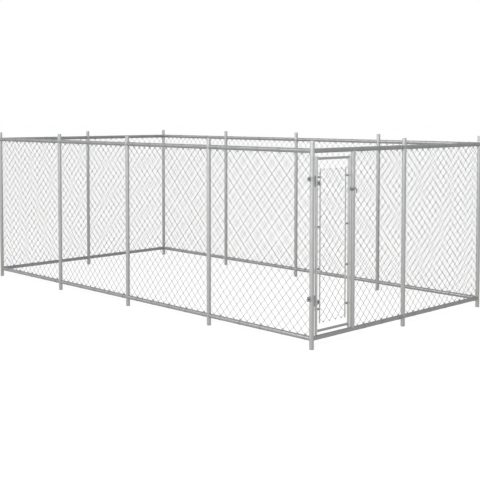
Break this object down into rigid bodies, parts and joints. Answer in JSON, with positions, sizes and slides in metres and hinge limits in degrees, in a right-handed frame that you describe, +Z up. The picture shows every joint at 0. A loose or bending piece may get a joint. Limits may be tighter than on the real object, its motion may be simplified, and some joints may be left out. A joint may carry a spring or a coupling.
{
  "type": "outdoor dog kennel run",
  "caption": "Free-standing rectangular dog run, open at the top: galvanised tube posts and rails filled with chain-link mesh, with a hinged mesh gate and a lift-up fork latch.",
  "frame": {"origin": "on the ground, at the centre of the run's rectangle of posts", "axes": "+X along the long sides, towards the gate side; +Y across, away from the gate's hinge corner; +Z up"},
  "size_m": [6.0679, 3.1395, 2.09],
  "materials": {
    "galvanised_tube": "hot-dip galvanised, satin",
    "mesh_wire": "galvanised wire",
    "hardware": "dull zinc plating",
    "post_plug": "cast, matt"
  },
  "bodies": {
    "frame": {"post_front_1": "galvanised_tube", "post_front_2": "galvanised_tube", "post_front_3": "galvanised_tube", "post_front_4": "galvanised_tube", "post_right_1": "galvanised_tube", "post_right_2": "galvanised_tube", "post_back_1": "galvanised_tube", "post_back_2": "galvanised_tube", "post_back_3": "galvanised_tube", "post_back_4": "galvanised_tube", "post_left_1": "galvanised_tube", "post_left_2": "galvanised_tube", "bottom_rail_front_1": "galvanised_tube", "bottom_rail_front_2": "galvanised_tube", "bottom_rail_front_3": "galvanised_tube", "bottom_rail_front_4": "galvanised_tube", "bottom_rail_right_1": "galvanised_tube", "bottom_rail_right_2": "galvanised_tube", "bottom_rail_back_1": "galvanised_tube", "bottom_rail_back_2": "galvanised_tube", "bottom_rail_back_3": "galvanised_tube", "bottom_rail_back_4": "galvanised_tube", "bottom_rail_left_1": "galvanised_tube", "bottom_rail_left_2": "galvanised_tube", "top_rail_front_1": "galvanised_tube", "top_rail_front_2": "galvanised_tube", "top_rail_front_3": "galvanised_tube", "top_rail_front_4": "galvanised_tube", "top_rail_right_1": "galvanised_tube", "top_rail_right_2": "galvanised_tube", "top_rail_back_1": "galvanised_tube", "top_rail_back_2": "galvanised_tube", "top_rail_back_3": "galvanised_tube", "top_rail_back_4": "galvanised_tube", "top_rail_left_1": "galvanised_tube", "top_rail_left_2": "galvanised_tube", "front_mesh": "mesh_wire", "right_mesh": "mesh_wire", "back_mesh": "mesh_wire", "left_mesh": "mesh_wire", "post_caps": "post_plug", "post_feet": "post_plug", "frame_screws": "hardware", "tie_wires": "mesh_wire", "gate_jamb": "galvanised_tube", "hinge_post_clamp_lower": "hardware", "hinge_post_clamp_upper": "hardware", "hinge_post_bolts": "hardware", "hinge_pins": "hardware"},
    "gate": {"gate_frame": "galvanised_tube", "gate_mesh": "mesh_wire", "gate_tension_bars": "galvanised_tube", "gate_tension_bands": "hardware", "gate_band_bolts": "hardware", "hinge_gate_clamp_lower": "hardware", "hinge_gate_clamp_upper": "hardware", "hinge_gate_bolts": "hardware", "latch_collar": "hardware", "latch_pivot_bolt": "hardware"},
    "latch_fork": {"latch_fork": "hardware"}
  },
  "joints": [
    {"name": "gate_swing", "type": "hinge", "parent": "frame", "child": "gate", "pos_m": [3, -1.4865, 1], "axis": [0, 0, -1], "range_deg": [0, 95]},
    {"name": "latch_lift", "type": "hinge", "parent": "gate", "child": "latch_fork", "pos_m": [3, -0.924, 1.58], "axis": [1, 0, 0], "range_deg": [0, 140]}
  ]
}
